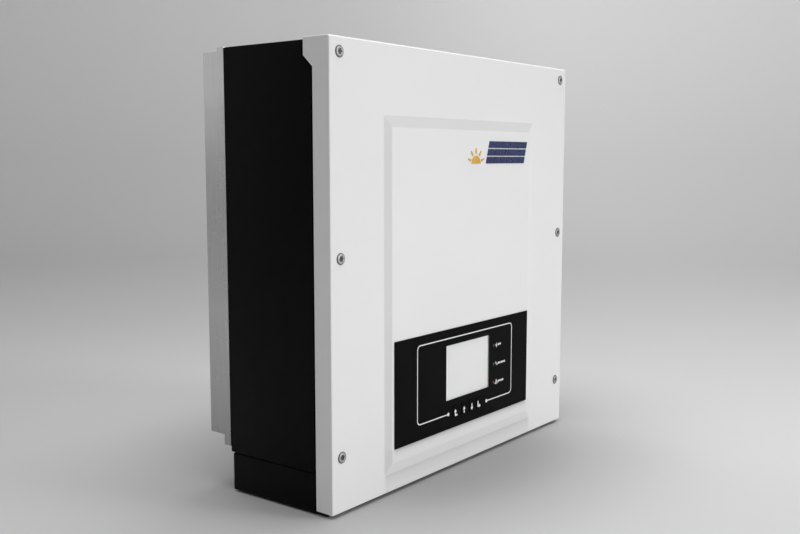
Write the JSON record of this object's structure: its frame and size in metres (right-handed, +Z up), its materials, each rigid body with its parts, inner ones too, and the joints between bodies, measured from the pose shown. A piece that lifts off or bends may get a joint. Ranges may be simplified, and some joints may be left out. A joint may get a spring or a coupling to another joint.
{
  "type": "string inverter",
  "caption": "Wall-hung solar string inverter: white steel front cover with hood, display and keys, black housing and cable bay, finned aluminium heat sink behind.",
  "frame": {"origin": "on the floor plane, under the middle of the object's box: halfway across the width and halfway from the key faces to the fin tips", "axes": "+X to the right seen from the front, +Y from the front cover to the wall side, +Z up"},
  "size_m": [0.437, 0.1698, 0.442],
  "materials": {
    "white_paint": "fine powder coat, satin",
    "black_paint": "fine powder coat, matt",
    "bare_aluminium": "extruded, lightly brushed",
    "steel": "zinc plated",
    "copper": "enamelled copper winding",
    "rubber": "foam rubber",
    "gloss_black": "smooth film",
    "clear": "clear",
    "lcd_grey": "pale grey display glass",
    "board_green": "circuit board",
    "black_plastic": "moulded, fine grain",
    "green_lens": "clear green",
    "red_lens": "clear red"
  },
  "bodies": {
    "case": {"ac_cable": "black_plastic", "ac_port": "black_plastic", "boost_inductor_1": "copper", "boost_inductor_2": "copper", "comms_port": "black_plastic", "control_board": "board_green", "cover_gasket": "rubber", "cover_screw_1": "steel", "cover_screw_2": "steel", "cover_screw_3": "steel", "cover_screw_4": "steel", "cover_screw_5": "steel", "cover_screw_6": "steel", "dc_link_capacitor_1": "black_plastic", "dc_link_capacitor_2": "black_plastic", "dc_link_capacitor_3": "black_plastic", "dc_port_neg_1": "black_plastic", "dc_port_neg_2": "black_plastic", "dc_port_pos_1": "black_plastic", "dc_port_pos_2": "black_plastic", "dc_switch_body": "black_plastic", "display_board": "board_green", "display_overlay": "gloss_black", "earth_screw": "steel", "emi_choke_ac": "copper", "emi_choke_dc": "copper", "filter_inductor_1": "copper", "filter_inductor_2": "copper", "front_cover": "white_paint", "grid_relay_1": "black_plastic", "grid_relay_2": "black_plastic", "hanger_left": "steel", "hanger_right": "steel", "hanger_screw_1": "steel", "hanger_screw_2": "steel", "hanger_screw_3": "steel", "hanger_screw_4": "steel", "heat_sink": "bare_aluminium", "heat_sink_screw_1": "steel", "heat_sink_screw_2": "steel", "heat_sink_screw_3": "steel", "heat_sink_screw_4": "steel", "heat_sink_seal": "rubber", "housing": "black_paint", "lcd_panel": "lcd_grey", "lcd_window": "clear", "led_alarm": "red_lens", "led_earth": "green_lens", "led_normal": "green_lens", "main_board": "board_green", "power_module_1": "black_plastic", "power_module_2": "black_plastic", "ribbon_cable": "lcd_grey", "skirt": "black_paint", "vent_plug": "black_plastic"},
    "dc_switch_knob": {"dc_switch_knob": "black_plastic"},
    "key_back": {"key_back": "black_plastic"},
    "key_up": {"key_up": "black_plastic"},
    "key_down": {"key_down": "black_plastic"},
    "key_enter": {"key_enter": "black_plastic"}
  },
  "joints": [
    {"name": "dc_switch_turn", "type": "hinge", "parent": "case", "child": "dc_switch_knob", "pos_m": [-0.15, -0.0069, 0.0387], "axis": [0, 0, 1], "range_deg": [0, 90]},
    {"name": "key_back_press", "type": "slide", "parent": "case", "child": "key_back", "axis": [0, 1, 0], "range_m": [0, 0.0008], "stiffness_N_per_m": 500, "springref_m": -0.001},
    {"name": "key_up_press", "type": "slide", "parent": "case", "child": "key_up", "axis": [0, 1, 0], "range_m": [0, 0.0008], "stiffness_N_per_m": 500, "springref_m": -0.001},
    {"name": "key_down_press", "type": "slide", "parent": "case", "child": "key_down", "axis": [0, 1, 0], "range_m": [0, 0.0008], "stiffness_N_per_m": 500, "springref_m": -0.001},
    {"name": "key_enter_press", "type": "slide", "parent": "case", "child": "key_enter", "axis": [0, 1, 0], "range_m": [0, 0.0008], "stiffness_N_per_m": 500, "springref_m": -0.001}
  ]
}
